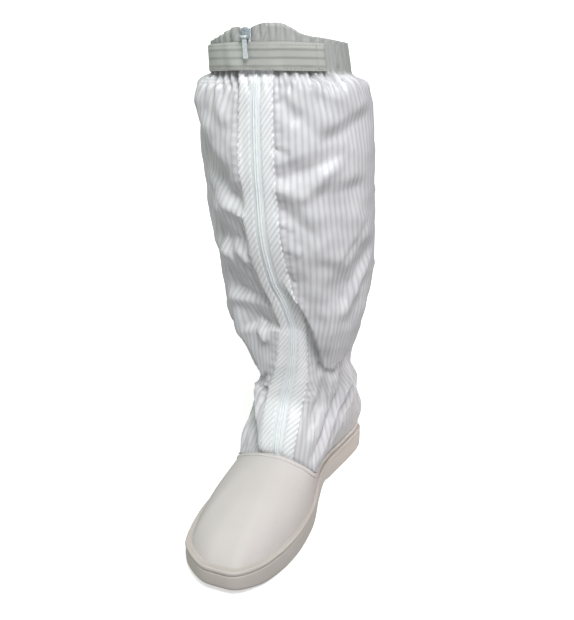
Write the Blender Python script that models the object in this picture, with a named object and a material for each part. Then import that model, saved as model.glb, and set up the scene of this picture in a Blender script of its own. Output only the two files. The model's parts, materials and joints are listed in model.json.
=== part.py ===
# Cleanroom boot for a right foot: a moulded shoe with a cloth shaft and a front zip.
# Metres, +Z up, toe towards -Y, medial side towards +X. Tables are in millimetres.
import bmesh
import bpy
import numpy as np
from mathutils import Matrix, Vector

MM = 0.001

# Sole
LENGTH = 290.0
BLUNT = 0.5
SIDE_STEPS = 36
LIP = 3.0
GAP = 0.3

# Upper
WALL = 1.5
ROLL = np.radians(70)
BINDING_HEIGHT = 5.0
BINDING_OUT = 0.8
BINDING_IN = -2.0
CORNER_STEP = 18
THROAT = (-2.0, -19.0, 66.5)
THROAT_FLAT = 0.75

# Insole
INSOLE = 4.0
INSOLE_GAP = 1.0

# Shaft and zip
CLOTH = 1.0
TUCK = 6.0
SHAFT_UNDER = -3.0
SHAFT_LEAD = (0.9, 2.2)
ANKLE = 116.0
SLIT = 6.0
TAPE = 5.7
CHAIN = 2.0
FACING = (4.6, 15.5)
RING_POINTS = 288
COLLAR_RAMP = (398.0, 418.0)
COLLAR_FRONT = (-16.0, -28.0)
COLLAR_TILT = (-0.05, 0.16)

# Strap
STRAP_ENDS = (-120.0, 64.0)
STRAP_THICK = 1.6
STRAP_LIFT = (0.7, 2.4)
STRAP_RISE = (16.0, 28.0)

# Slider and pull tab
SLIDER_HEIGHT = 446.5
SLIDER = (8.0, 11.0)
SLIDER_BASE = (2.2, 4.6)
PIVOT = (6.3, -2.6)
PIN_RADIUS = 0.6
EYE_RADIUS = (0.85, 1.35)
LUG = (2.9, 4.0)
TAB_WIDTH = 5.0
TAB_LENGTH = 17.0
TAB_THICK = 1.0


def table(names, rows):
    columns = np.array(rows, float).T
    return dict(zip(names.split(), columns))


# Plan of the sole: along runs from the heel (0) to the toe (1).
OUTLINE = table("along centre half", [
    (0.00, 9.0, 39.0),
    (0.14, 0.0, 34.0),
    (0.30, -6.0, 30.0),
    (0.45, -10.0, 39.2),
    (0.62, -9.0, 49.6),
    (0.76, -8.2, 52.6),
    (0.90, -7.8, 51.4),
    (1.00, -2.6, 38.1),
])

# Heights of the tread, of the recess floor and of the rim along the sole.
HEIGHTS = table("along tread floor rim", [
    (0.00, 1.5, 15.5, 24.8),
    (0.04, 0.0, 15.5, 24.5),
    (0.27, 0.0, 15.0, 24.0),
    (0.34, 3.5, 14.5, 24.0),
    (0.46, 3.5, 13.4, 24.0),
    (0.54, 0.0, 12.4, 24.0),
    (0.80, 0.0, 12.0, 24.0),
    (0.90, 1.6, 12.4, 24.4),
    (1.00, 6.0, 14.0, 25.6),
])

# Edge of the sole from the tread up: inset, share of the way from tread to rim, lift.
SOLE_EDGE = table("inset share lift", [
    (4.0, 0.0, 0.0),
    (1.6, 0.0, 0.9),
    (0.5, 0.0, 3.2),
    (0.0, 0.5, 0.0),
    (0.3, 1.0, -5.2),
    (1.2, 1.0, -4.4),
    (1.2, 1.0, -4.0),
    (0.0, 1.0, -3.2),
    (-0.2, 1.0, -1.7),
    (0.4, 1.0, -0.4),
    (1.5, 1.0, 0.0),
    (2.6, 1.0, -0.4),
    (3.0, 1.0, -1.4),
])

# Height of the topline from the heel (0) to the side corner (1).
QUARTER = table("share medial lateral", [
    (0.0, 34.0, 34.0),
    (0.3, 29.8, 30.5),
    (0.6, 28.8, 30.0),
    (0.85, 33.0, 33.5),
    (1.0, 46.0, 46.0),
])

# Cloth between topline and ankle: how far it has closed in, and how far it swells.
LOWER = table("share closing swell", [
    (0.00, 0.00, 0.00),
    (0.07, 0.03, 0.25),
    (0.20, 0.14, 0.70),
    (0.40, 0.38, 1.00),
    (0.60, 0.62, 0.90),
    (0.80, 0.85, 0.50),
    (1.00, 1.00, 0.00),
])
SWELL = table("share swell", [
    (0.00, 4.0),
    (0.12, 6.0),
    (0.30, 10.0),
    (0.42, 9.0),
    (0.52, 4.0),
    (0.70, 8.0),
    (0.86, 6.5),
    (1.00, 4.0),
])

# Shaft sections: height, centre, half width, half depth and the zip's turn in degrees.
SECTIONS = table("height x y width depth turn", [
    (116, -6.0, 66.0, 47.0, 43.0, -1.0),
    (140, -7.0, 50.0, 52.0, 44.0, 9.5),
    (160, -7.5, 44.0, 57.4, 46.0, 13.4),
    (180, -8.0, 41.5, 63.2, 50.5, 13.6),
    (200, -8.7, 44.0, 68.0, 54.5, 11.0),
    (240, -10.0, 45.5, 73.5, 59.0, 2.6),
    (300, -11.8, 37.4, 76.7, 61.5, -0.3),
    (340, -13.0, 32.3, 78.0, 62.5, -0.5),
    (380, -14.0, 31.0, 77.0, 61.5, -0.5),
    (400, -14.2, 25.5, 74.8, 59.0, -0.3),
    (409, -13.6, 23.7, 70.5, 55.5, -0.8),
    (418, -14.0, 21.6, 60.5, 48.0, -1.8),
    (428, -14.3, 20.0, 59.5, 47.0, -4.8),
    (440, -14.5, 18.0, 58.5, 46.0, -6.4),
    (449, -14.5, 17.3, 58.0, 45.5, -6.4),
])
SHAFT_LEVELS = (124, 134, 146, 160, 178, 200, 225, 252, 280, 310, 340,
                364, 382, 397, 408, 418, 429, 440, 449)

# Looks: colour, roughness, metallic.
LOOKS = {
    "moulded polyurethane": ((0.69, 0.66, 0.62), 0.45, 0.0),
    "striped cloth": ((0.68, 0.69, 0.72), 0.80, 0.0),
    "foam sheet": ((0.50, 0.51, 0.52), 0.90, 0.0),
    "zip nylon": ((0.66, 0.69, 0.70), 0.60, 0.0),
    "grey webbing": ((0.55, 0.56, 0.52), 0.85, 0.0),
    "enamelled metal": ((0.60, 0.64, 0.66), 0.35, 0.4),
}


def smooth(rows, at, key, column):
    # Cubic through a table's rows whose slopes never overshoot a row.
    x = rows[key]
    y = rows[column]
    at = np.clip(np.asarray(at, float), x[0], x[-1])
    step = np.diff(x)
    rise = np.diff(y) / step
    product = rise[:-1] * rise[1:]
    total = rise[:-1] + rise[1:]
    slope = np.zeros(len(x))
    slope[1:-1] = np.where(product > 0, 2 * product / np.where(total == 0, 1, total), 0)
    slope[0] = rise[0]
    slope[-1] = rise[-1]
    i = np.clip(np.searchsorted(x, at, side="right") - 1, 0, len(x) - 2)
    t = (at - x[i]) / step[i]
    near = y[i] * (1 + 2 * t) + slope[i] * step[i] * t
    far = y[i + 1] * (3 - 2 * t) - slope[i + 1] * step[i] * (1 - t)
    return near * (1 - t) ** 2 + far * t ** 2


def unit(vectors):
    return vectors / np.linalg.norm(vectors, axis=-1, keepdims=True)


def edge_turns(count):
    # Turns from heel (0) to toe (pi) that step evenly round the sole's edge.
    turn = np.linspace(0, np.pi, 1441)
    along = (1 - np.cos(turn)) / 2
    across = smooth(OUTLINE, along, "along", "half") * np.clip(np.sin(turn), 0, 1) ** BLUNT
    run = np.concatenate([[0], np.cumsum(np.hypot(np.diff(across), LENGTH * np.diff(along)))])
    return np.interp(np.linspace(0, run[-1], count + 1), run, turn)


# The loop starts at the heel, runs up the medial side to the toe and back laterally.
TURN = edge_turns(SIDE_STEPS)
LOOP_TURN = np.concatenate([TURN, TURN[-2:0:-1]])
LOOP_SIDE = np.concatenate([np.ones(SIDE_STEPS + 1), -np.ones(SIDE_STEPS - 1)])
LOOP_STEP = np.concatenate([np.arange(SIDE_STEPS + 1), np.arange(SIDE_STEPS - 1, 0, -1)])
ALONG = (1 - np.cos(LOOP_TURN)) / 2
LOOP = np.stack([
    smooth(OUTLINE, ALONG, "along", "centre")
    + LOOP_SIDE * smooth(OUTLINE, ALONG, "along", "half")
    * np.clip(np.sin(LOOP_TURN), 0, 1) ** BLUNT,
    LENGTH * (0.5 - ALONG),
], axis=-1)
CHORD = np.roll(LOOP, -1, axis=0) - np.roll(LOOP, 1, axis=0)
OUTWARD = unit(np.stack([-CHORD[:, 1], CHORD[:, 0]], axis=-1))
TREAD = smooth(HEIGHTS, ALONG, "along", "tread")
FLOOR = smooth(HEIGHTS, ALONG, "along", "floor")
RIM = smooth(HEIGHTS, ALONG, "along", "rim")


def loop_at(inset, height):
    plan = LOOP - OUTWARD * inset
    return np.column_stack([plan, np.broadcast_to(height, len(plan))])


def topline():
    # Low along the quarters, then up and in over the instep to the throat.
    share = np.clip(LOOP_STEP / CORNER_STEP, 0, 1)
    medial = smooth(QUARTER, share, "share", "medial")
    lateral = smooth(QUARTER, share, "share", "lateral")
    line = loop_at(LIP + GAP, np.where(LOOP_SIDE > 0, medial, lateral))
    climb = np.clip((LOOP_STEP - CORNER_STEP) / (SIDE_STEPS - CORNER_STEP), 0, 1)
    corners = {1: line[CORNER_STEP], -1: line[2 * SIDE_STEPS - CORNER_STEP]}
    corner = np.array([corners[int(side)] for side in LOOP_SIDE])
    rise = np.sin(climb * np.pi / 2) ** THROAT_FLAT
    blend = np.stack([climb, rise, rise], axis=-1)
    front = corner + (np.array(THROAT) - corner) * blend
    return np.where(climb[:, None] > 0, front, line)


def upper_skin(rows):
    # Each profile leaves the sole upright and rolls over to meet the topline.
    foot = loop_at(LIP + GAP, FLOOR + GAP)
    top = topline()
    h = np.linspace(0, 1, rows)[:, None]
    inward = (1 - np.cos(h * ROLL)) / (1 - np.cos(ROLL))
    upward = np.sin(h * ROLL) / np.sin(ROLL)
    blend = np.stack([inward, inward, upward], axis=-1)
    skin = foot[None] + (top - foot)[None] * blend
    return skin, skin_normals(skin)


def skin_normals(skin):
    around = np.roll(skin, -1, axis=1) - np.roll(skin, 1, axis=1)
    up = np.gradient(skin, axis=0)
    return unit(np.cross(up, around))


def upper_rows(shares, below):
    # Points on the upper's skin: shares of each profile that ends a length below the top.
    skin, normal = upper_skin(121)
    step = np.linalg.norm(np.diff(skin, axis=0), axis=-1)
    run = np.concatenate([np.zeros((1, skin.shape[1])), np.cumsum(step, axis=0)])
    h = np.linspace(0, 1, len(skin))
    point = np.zeros((len(shares), skin.shape[1], 3))
    out = np.zeros_like(point)
    for i in range(skin.shape[1]):
        last = np.interp(run[-1, i] - below[1], run[:, i], h)
        first = np.interp(run[-1, i] - below[0], run[:, i], h)
        at = first + (last - first) * np.asarray(shares)
        for axis in range(3):
            point[:, i, axis] = np.interp(at, h, skin[:, i, axis])
            out[:, i, axis] = np.interp(at, h, normal[:, i, axis])
    return point, unit(out)


def add_object(name, bm, material):
    bmesh.ops.recalc_face_normals(bm, faces=bm.faces)
    mesh = bpy.data.meshes.new(name)
    bm.to_mesh(mesh)
    bm.free()
    for face in mesh.polygons:
        face.use_smooth = True
    mesh.materials.append(MATERIALS[material])
    thing = bpy.data.objects.new(name, mesh)
    bpy.context.scene.collection.objects.link(thing)
    return thing


def grid_faces(bm, rows, columns, start, wrap, flip):
    last = columns if wrap else columns - 1
    for r in range(rows - 1):
        for c in range(last):
            d = (c + 1) % columns
            quad = [start + r * columns + c, start + r * columns + d,
                    start + (r + 1) * columns + d, start + (r + 1) * columns + c]
            if flip:
                quad.reverse()
            bm.faces.new([bm.verts[i] for i in quad])


def slab(name, outer, inner, wrap, material):
    # A sheet of real thickness between two matching grids.
    rows, columns = outer.shape[:2]
    bm = bmesh.new()
    for point in np.concatenate([outer.reshape(-1, 3), inner.reshape(-1, 3)]):
        bm.verts.new(point * MM)
    bm.verts.ensure_lookup_table()
    size = rows * columns
    grid_faces(bm, rows, columns, 0, wrap, False)
    grid_faces(bm, rows, columns, size, wrap, True)
    last = columns if wrap else columns - 1
    for r in (0, rows - 1):
        for c in range(last):
            a = r * columns + c
            b = r * columns + (c + 1) % columns
            bm.faces.new([bm.verts[i] for i in (a, b, b + size, a + size)])
    if not wrap:
        for c in (0, columns - 1):
            for r in range(rows - 1):
                a = r * columns + c
                b = a + columns
                bm.faces.new([bm.verts[i] for i in (a, b, b + size, a + size)])
    return add_object(name, bm, material)


def stack(name, loops, material):
    # Closed body from loops in turn, the first and the last filled straight across.
    count = len(loops[0])
    bm = bmesh.new()
    for point in np.concatenate(loops):
        bm.verts.new(point * MM)
    bm.verts.ensure_lookup_table()
    grid_faces(bm, len(loops), count, 0, True, False)
    half = count // 2
    for start in (0, (len(loops) - 1) * count):
        for i in range(half):
            across = (start + i, start + i + 1, start + (count - i - 1) % count,
                      start + (count - i) % count)
            bm.faces.new([bm.verts[j] for j in dict.fromkeys(across)])
    return add_object(name, bm, material)


def section_ring(height, count):
    # Oval section stepped evenly round from the zip, first to the medial side.
    values = {key: float(smooth(SECTIONS, height, "height", key)) for key in SECTIONS}
    angle = np.radians(values["turn"]) + np.linspace(0, 2 * np.pi, 4 * count + 1)
    ring = np.stack([
        values["x"] + values["width"] * np.sin(angle),
        values["y"] - values["depth"] * np.cos(angle),
        np.full(angle.shape, float(height)),
    ], axis=-1)
    return even_ring(ring, count)


def even_ring(ring, count):
    run = np.concatenate([[0], np.cumsum(np.linalg.norm(np.diff(ring, axis=0), axis=-1))])
    at = np.linspace(0, run[-1], count, endpoint=False)
    return np.stack([np.interp(at, run, ring[:, axis]) for axis in range(3)], axis=-1)


def shaft_skin():
    order = np.concatenate([np.arange(SIDE_STEPS, -1, -1),
                            np.arange(2 * SIDE_STEPS - 1, SIDE_STEPS - 1, -1)])
    point, out = upper_rows([0, 0.9, 1], (TUCK, 0))
    lead = unit(point[2] - point[1])
    under = point[0] + out[0] * SHAFT_UNDER
    inside = point[2] + lead * SHAFT_LEAD[0] + out[2] * SHAFT_UNDER
    over = point[2] + lead * SHAFT_LEAD[1] + out[2] * BINDING_OUT
    tuck = even_ring(under[order], RING_POINTS)
    bend = even_ring(inside[order], RING_POINTS)
    base = even_ring(over[order], RING_POINTS)
    ankle = section_ring(ANKLE, RING_POINTS)
    share = np.arange(RING_POINTS) / RING_POINTS
    swell = smooth(SWELL, share, "share", "swell")[:, None]
    side = np.roll(base + ankle, -1, axis=0) - np.roll(base + ankle, 1, axis=0)
    out = unit(np.cross(side, np.array([0, 0, 1.0])))
    rings = [tuck, bend]
    for way in LOWER["share"]:
        closing = float(smooth(LOWER, way, "share", "closing"))
        push = float(smooth(LOWER, way, "share", "swell"))
        ring = base + (ankle - base) * np.array([closing, closing, way])
        rings.append(ring + out * swell * push)
    rings += [section_ring(height, RING_POINTS) for height in SHAFT_LEVELS]
    skin = np.array(rings)
    # The collar leans: it is lower at the back and on the lateral side than in front.
    ramp = np.clip((skin[..., 2] - COLLAR_RAMP[0]) / (COLLAR_RAMP[1] - COLLAR_RAMP[0]), 0, 1)
    lean = (skin[..., :2] - COLLAR_FRONT) @ COLLAR_TILT
    skin[..., 2] -= lean * ramp * ramp * (3 - 2 * ramp)
    return skin, -skin_normals(skin)


def on_shaft(rows, arcs, offset):
    # Points on the cloth at lengths round from the zip, lifted off along its normal.
    arcs = np.broadcast_to(arcs, (len(rows), np.shape(arcs)[-1]))
    offset = np.broadcast_to(offset, arcs.shape)
    found = np.zeros(arcs.shape + (3,))
    for i, row in enumerate(rows):
        ring = SKIN[row]
        length = np.linalg.norm(np.roll(ring, -1, axis=0) - ring, axis=-1).sum()
        at = arcs[i] / length * RING_POINTS
        steps = np.arange(RING_POINTS)
        for axis in range(3):
            place = np.interp(at, steps, ring[:, axis], period=RING_POINTS)
            lift = np.interp(at, steps, NORMAL[row][:, axis], period=RING_POINTS)
            found[i, :, axis] = place + lift * offset[i]
    return found


def ring_length(row):
    return np.linalg.norm(np.roll(SKIN[row], -1, axis=0) - SKIN[row], axis=-1).sum()


def band(name, rows, arcs, low, high, material):
    return slab(name, on_shaft(rows, arcs, high), on_shaft(rows, arcs, low), False, material)


def block(size, centre):
    bm = bmesh.new()
    bmesh.ops.create_cube(bm, size=1.0)
    for vert in bm.verts:
        vert.co = Vector([vert.co[i] * size[i] + centre[i] for i in range(3)])
    return bm


def rod(radius, width, centre):
    # A round bar along the local cross direction.
    bm = bmesh.new()
    turn = Matrix.Rotation(np.pi / 2, 4, "Y")
    bmesh.ops.create_cone(bm, cap_ends=True, segments=16, radius1=radius, radius2=radius,
                          depth=width, matrix=Matrix.Translation(centre) @ turn)
    return bm


def joined(name, pieces, cuts, place, material):
    # Local pieces made one body, cut, and set in place on the boot.
    made = []
    for i, bm in enumerate(pieces + cuts):
        made.append(add_object(f"{name} piece {i}", bm, material))
    body = made[0]
    for i, other in enumerate(made[1:], start=1):
        change = body.modifiers.new(f"piece {i}", "BOOLEAN")
        change.operation = "UNION" if i < len(pieces) else "DIFFERENCE"
        change.solver = "EXACT"
        change.object = other
    bpy.context.view_layer.update()
    result = body.evaluated_get(bpy.context.evaluated_depsgraph_get())
    bm = bmesh.new()
    bm.from_mesh(result.to_mesh())
    bmesh.ops.triangulate(bm, faces=bm.faces)
    for vert in bm.verts:
        vert.co = place @ vert.co * MM
    for thing in made:
        bpy.data.objects.remove(thing)
    return add_object(name, bm, material)


for old in list(bpy.data.objects):
    bpy.data.objects.remove(old)

MATERIALS = {}
for title, (colour, roughness, metallic) in LOOKS.items():
    made = bpy.data.materials.new(title)
    made.use_nodes = True
    shader = made.node_tree.nodes["Principled BSDF"]
    shader.inputs["Base Color"].default_value = (*colour, 1)
    shader.inputs["Roughness"].default_value = roughness
    shader.inputs["Metallic"].default_value = metallic
    MATERIALS[title] = made

# Sole: loops up the edge, over the lip and down to the recess floor.
sole_loops = []
for inset, share, lift in zip(SOLE_EDGE["inset"], SOLE_EDGE["share"], SOLE_EDGE["lift"]):
    sole_loops.append(loop_at(inset, TREAD + (RIM - TREAD) * share + lift))
sole_loops.append(loop_at(LIP, FLOOR))
stack("outsole", sole_loops, "moulded polyurethane")

insole_edge = LIP + GAP + WALL + INSOLE_GAP
stack("insole", [
    loop_at(insole_edge, FLOOR + GAP),
    loop_at(insole_edge, FLOOR + GAP + INSOLE - 0.8),
    loop_at(insole_edge + 0.8, FLOOR + GAP + INSOLE),
], "foam sheet")

# Upper and its binding share one skin, split a gap apart near the topline.
point, out = upper_rows(np.linspace(0, 1, 10), (1e6, BINDING_HEIGHT + GAP))
slab("upper", point, point - out * WALL, True, "moulded polyurethane")
point, out = upper_rows([0, 1], (BINDING_HEIGHT, 0))
slab("topline_binding", point + out * BINDING_OUT, point + out * BINDING_IN, True,
     "moulded polyurethane")

# Shaft: columns keep their distance from the zip, then share out the rest.
SKIN, NORMAL = shaft_skin()
ROWS = np.arange(len(SKIN))
shaft_arcs = []
for row in ROWS:
    near = np.array([SLIT, 10.0, FACING[1], 20.0, 26.0])
    rest = np.linspace(26.0, ring_length(row) - 26.0, 32)[1:-1]
    shaft_arcs.append(np.concatenate([near, rest, ring_length(row) - near[::-1]]))
shaft_arcs = np.array(shaft_arcs)
slab("shaft", on_shaft(ROWS, shaft_arcs, 0.0), on_shaft(ROWS, shaft_arcs, -CLOTH), False,
     "striped cloth")

zip_rows = ROWS[3:]
band("zip_tape", zip_rows, np.array([-TAPE, 0.0, TAPE]), -0.9, -0.1, "zip nylon")
band("zip_chain", zip_rows, np.array([-CHAIN, 0.0, CHAIN]), 0.2, 1.9, "zip nylon")
facing = np.array([FACING[0], 10.0, FACING[1]])
band("zip_facing_medial", zip_rows, facing, 0.3, 1.3, "striped cloth")
band("zip_facing_lateral", zip_rows, -facing[::-1], 0.3, 1.3, "striped cloth")

strap_rows = ROWS[-4:-1]
strap_arcs = np.unique(np.concatenate([
    np.arange(STRAP_ENDS[0], -30.0, 7.5),
    np.arange(-28.0, 29.0, 4.0),
    np.linspace(32.0, STRAP_ENDS[1], 5),
]))
flat = np.clip((np.abs(strap_arcs) - STRAP_RISE[0]) / (STRAP_RISE[1] - STRAP_RISE[0]), 0, 1)
flat = flat * flat * (3 - 2 * flat)
strap_low = STRAP_LIFT[1] + (STRAP_LIFT[0] - STRAP_LIFT[1]) * flat
band("top_strap", strap_rows, strap_arcs, strap_low, strap_low + STRAP_THICK, "grey webbing")

# Slider frame: across the zip, out of the cloth, up the zip.
low = on_shaft([ROWS[-2]], np.array([0.0]), 0.0)[0, 0]
high = on_shaft([ROWS[-1]], np.array([0.0]), 0.0)[0, 0]
spot = low + (high - low) * (SLIDER_HEIGHT - low[2]) / (high[2] - low[2])
side = on_shaft([ROWS[-2]], np.array([-1.0, 1.0]), 0.0)[0]
across = unit(side[0] - side[1])
upward = unit((high - low) - across * np.dot(high - low, across))
outward = np.cross(upward, across)
place = Matrix([
    (across[0], outward[0], upward[0], spot[0]),
    (across[1], outward[1], upward[1], spot[1]),
    (across[2], outward[2], upward[2], spot[2]),
    (0, 0, 0, 1),
])
base_mid = sum(SLIDER_BASE) / 2
lug_top = PIVOT[0] + EYE_RADIUS[1]
pieces = [block((SLIDER[0], SLIDER_BASE[1] - SLIDER_BASE[0], SLIDER[1]), (0, base_mid, 0))]
for way in (-1, 1):
    pieces.append(block((LUG[1] - LUG[0], lug_top - SLIDER_BASE[1] + 1.0, 2.8),
                        (way * sum(LUG) / 2, (lug_top + SLIDER_BASE[1] - 1.0) / 2, PIVOT[1])))
pieces.append(rod(PIN_RADIUS, sum(LUG), (0, PIVOT[0], PIVOT[1])))
joined("zip_slider", pieces, [], place, "enamelled metal")
joined("zip_pull_tab", [
    block((TAB_WIDTH, TAB_THICK, TAB_LENGTH - 1.0),
          (0, PIVOT[0], PIVOT[1] - 1.0 - (TAB_LENGTH - 1.0) / 2)),
    rod(EYE_RADIUS[1], TAB_WIDTH, (0, PIVOT[0], PIVOT[1])),
], [rod(EYE_RADIUS[0], TAB_WIDTH + 2, (0, PIVOT[0], PIVOT[1]))], place, "enamelled metal")

# The whole boot is moved so that its box stands centred on the origin.
things = [thing for thing in bpy.data.objects if thing.type == "MESH"]
corners = np.concatenate([
    np.array([vert.co[:] for vert in thing.data.vertices]) for thing in things])
middle = (corners.min(axis=0) + corners.max(axis=0)) / 2
shift = Matrix.Translation((-middle[0], -middle[1], -corners[:, 2].min()))
for thing in things:
    thing.data.transform(shift)

# The pull tab turns about the slider's pin, so its own origin lies there.
tab = bpy.data.objects["zip_pull_tab"]
hinge = shift @ (place @ Vector((0, PIVOT[0], PIVOT[1])) * MM)
tab.data.transform(Matrix.Translation(-hinge))
tab.location = hinge
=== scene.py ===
# Right boot of a cleanroom pair: moulded shoe, gathered striped shaft, zip up the front.
# Shapes are worked out in millimetres, toe at -Y and medial side at +X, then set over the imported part.
import json
from functools import partial
from types import SimpleNamespace

import bmesh
import bpy
import numpy as np
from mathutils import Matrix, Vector


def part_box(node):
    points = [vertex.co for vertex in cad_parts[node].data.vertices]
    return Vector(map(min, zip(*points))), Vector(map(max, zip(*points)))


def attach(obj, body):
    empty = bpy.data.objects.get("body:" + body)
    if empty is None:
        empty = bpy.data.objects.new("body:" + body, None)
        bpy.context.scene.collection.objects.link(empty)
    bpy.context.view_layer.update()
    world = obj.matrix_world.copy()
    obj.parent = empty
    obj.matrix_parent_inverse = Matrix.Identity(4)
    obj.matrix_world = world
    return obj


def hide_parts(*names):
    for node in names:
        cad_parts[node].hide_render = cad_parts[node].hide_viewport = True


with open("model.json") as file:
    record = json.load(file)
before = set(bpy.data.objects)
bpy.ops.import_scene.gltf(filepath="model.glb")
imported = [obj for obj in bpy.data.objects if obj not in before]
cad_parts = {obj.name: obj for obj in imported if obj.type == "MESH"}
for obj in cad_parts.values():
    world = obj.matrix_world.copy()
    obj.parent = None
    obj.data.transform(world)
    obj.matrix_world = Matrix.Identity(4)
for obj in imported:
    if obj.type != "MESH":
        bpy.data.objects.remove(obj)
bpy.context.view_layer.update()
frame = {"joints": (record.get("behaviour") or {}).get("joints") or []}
mm = 0.001


def through(rows, at):
    # every column as a cubic over the first one, with slopes that never overshoot a row
    rows = np.asarray(rows, float)
    key, value = rows[:, 0], rows[:, 1:]
    at = np.clip(np.asarray(at, float), key[0], key[-1])
    step = np.diff(key)[:, None]
    rise = np.diff(value, axis=0) / step
    product = rise[:-1] * rise[1:]
    total = rise[:-1] + rise[1:]
    inner = np.where(product > 0, 2 * product / np.where(total == 0, 1, total), 0)
    slope = np.concatenate([rise[:1], inner, rise[-1:]])
    i = np.clip(np.searchsorted(key, at, side="right") - 1, 0, len(key) - 2)
    t = (at - key[i])[..., None] / step[i]
    near = value[i] * (1 + 2 * t) + slope[i] * step[i] * t
    far = value[i + 1] * (3 - 2 * t) - slope[i + 1] * step[i] * (1 - t)
    return near * (1 - t) ** 2 + far * t ** 2


def fade(low, high, at):
    # smooth step from 0 at low to 1 at high
    t = np.clip((at - low) / (high - low), 0, 1)
    return t * t * (3 - 2 * t)


def unit(vectors):
    return vectors / np.linalg.norm(vectors, axis=-1, keepdims=True)


def power(value, exponent):
    return np.sign(value) * np.abs(value) ** exponent


def hump(at, middle, width):
    # bell curve: 1 at the middle, dying away over the width
    return np.exp(-((at - middle) / width) ** 2)


def stacked(*parts):
    return np.stack(np.broadcast_arrays(*parts), axis=-1)


def fullTurn(count):
    return np.linspace(0, 2 * np.pi, count, endpoint=False)


def lengthAlong(line):
    # length from a line's start to each of its points
    steps = np.linalg.norm(np.diff(line, axis=0), axis=-1)
    return np.concatenate([0 * steps[:1], np.cumsum(steps, axis=0)])


def chordAt(points, axis=0):
    # from the point before to the point after, round a closed line
    return np.roll(points, -1, axis=axis) - np.roll(points, 1, axis=axis)


def swing(turns):
    return np.sin(2 * np.pi * turns)


def pointsAt(at, run, line):
    # points of a line at given lengths from its start
    return np.stack([np.interp(at, run, line[:, k]) for k in range(3)], axis=-1)


def hexColour(text):
    # sRGB hex to linear
    part = np.array([int(text[i:i + 2], 16) for i in (1, 3, 5)]) / 255
    linear = np.where(part <= 0.04045, part / 12.92, ((part + 0.055) / 1.055) ** 2.4)
    return (*linear, 1.0)


def setSockets(node, sockets):
    # each takes a plain value or (node, output)
    for socket, value in sockets.items():
        if isinstance(value, tuple) and isinstance(value[0], bpy.types.Node):
            node.id_data.links.new(value[0].outputs[value[1]], node.inputs[socket])
        else:
            node.inputs[socket].default_value = value


def addNode(tree, kind, sockets=None, **settings):
    # settings are the node's own options
    node = tree.nodes.new("ShaderNode" + kind)
    for option, value in settings.items():
        setattr(node, option, value)
    setSockets(node, sockets or {})
    return node


def newFinish(name, sockets):
    # a Principled material with its plain sockets set, what adds nodes to it, and its shader
    finish = bpy.data.materials.new(name)
    finish.use_nodes = True
    shader = finish.node_tree.nodes["Principled BSDF"]
    setSockets(shader, sockets)
    return finish, partial(addNode, finish.node_tree), shader


def remap(add, source, low, high, start=0.0, stop=1.0, kind="LINEAR"):
    # an output's span from low to high carried to start and stop
    spans = {"From Min": low, "From Max": high, "To Min": start, "To Max": stop}
    return add("MapRange", {"Value": source, **spans}, interpolation_type=kind)


def surface(add, shader, colour, height, strength, distance, **sockets):
    # closes off a finish with a mixed colour and bumps from a height
    bump = add("Bump", {"Strength": strength, "Distance": distance, "Height": height})
    setSockets(shader, {"Base Color": (colour, 2), "Normal": (bump, "Normal"), **sockets})


def addObject(name, data):
    thing = bpy.data.objects.new(name, data)
    bpy.context.scene.collection.objects.link(thing)
    return thing


def aimAt(thing, place, aim):
    # at a place, looking along -Z towards the aim
    thing.location = place
    thing.rotation_euler = (Vector(aim) - Vector(place)).to_track_quat("-Z", "Y").to_euler()


def sheetOf(points, wraps=0, pattern=None):
    # a grid of points, closed along its rows with one wrap and along its columns too with two; its pattern
    # coordinates have a closing row or column of their own
    return SimpleNamespace(points=points, wraps=wraps, pattern=pattern)


def slabOf(outer, inner, pattern=None):
    # a strip with thickness: outer and inner grids joined round the sides, ends pinched shut
    ring = np.concatenate([outer, inner[:, ::-1]], axis=1)
    middle = (outer + inner) / 2
    ends = np.concatenate([middle, middle[:, ::-1]], axis=1)
    points = np.concatenate([ends[:1], ring, ends[-1:]])
    if pattern is not None:
        around = np.concatenate([pattern, pattern[:, ::-1], pattern[:, :1]], axis=1)
        pattern = np.concatenate([around[:1], around, around[-1:]])
    return sheetOf(points, 1, pattern)


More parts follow.
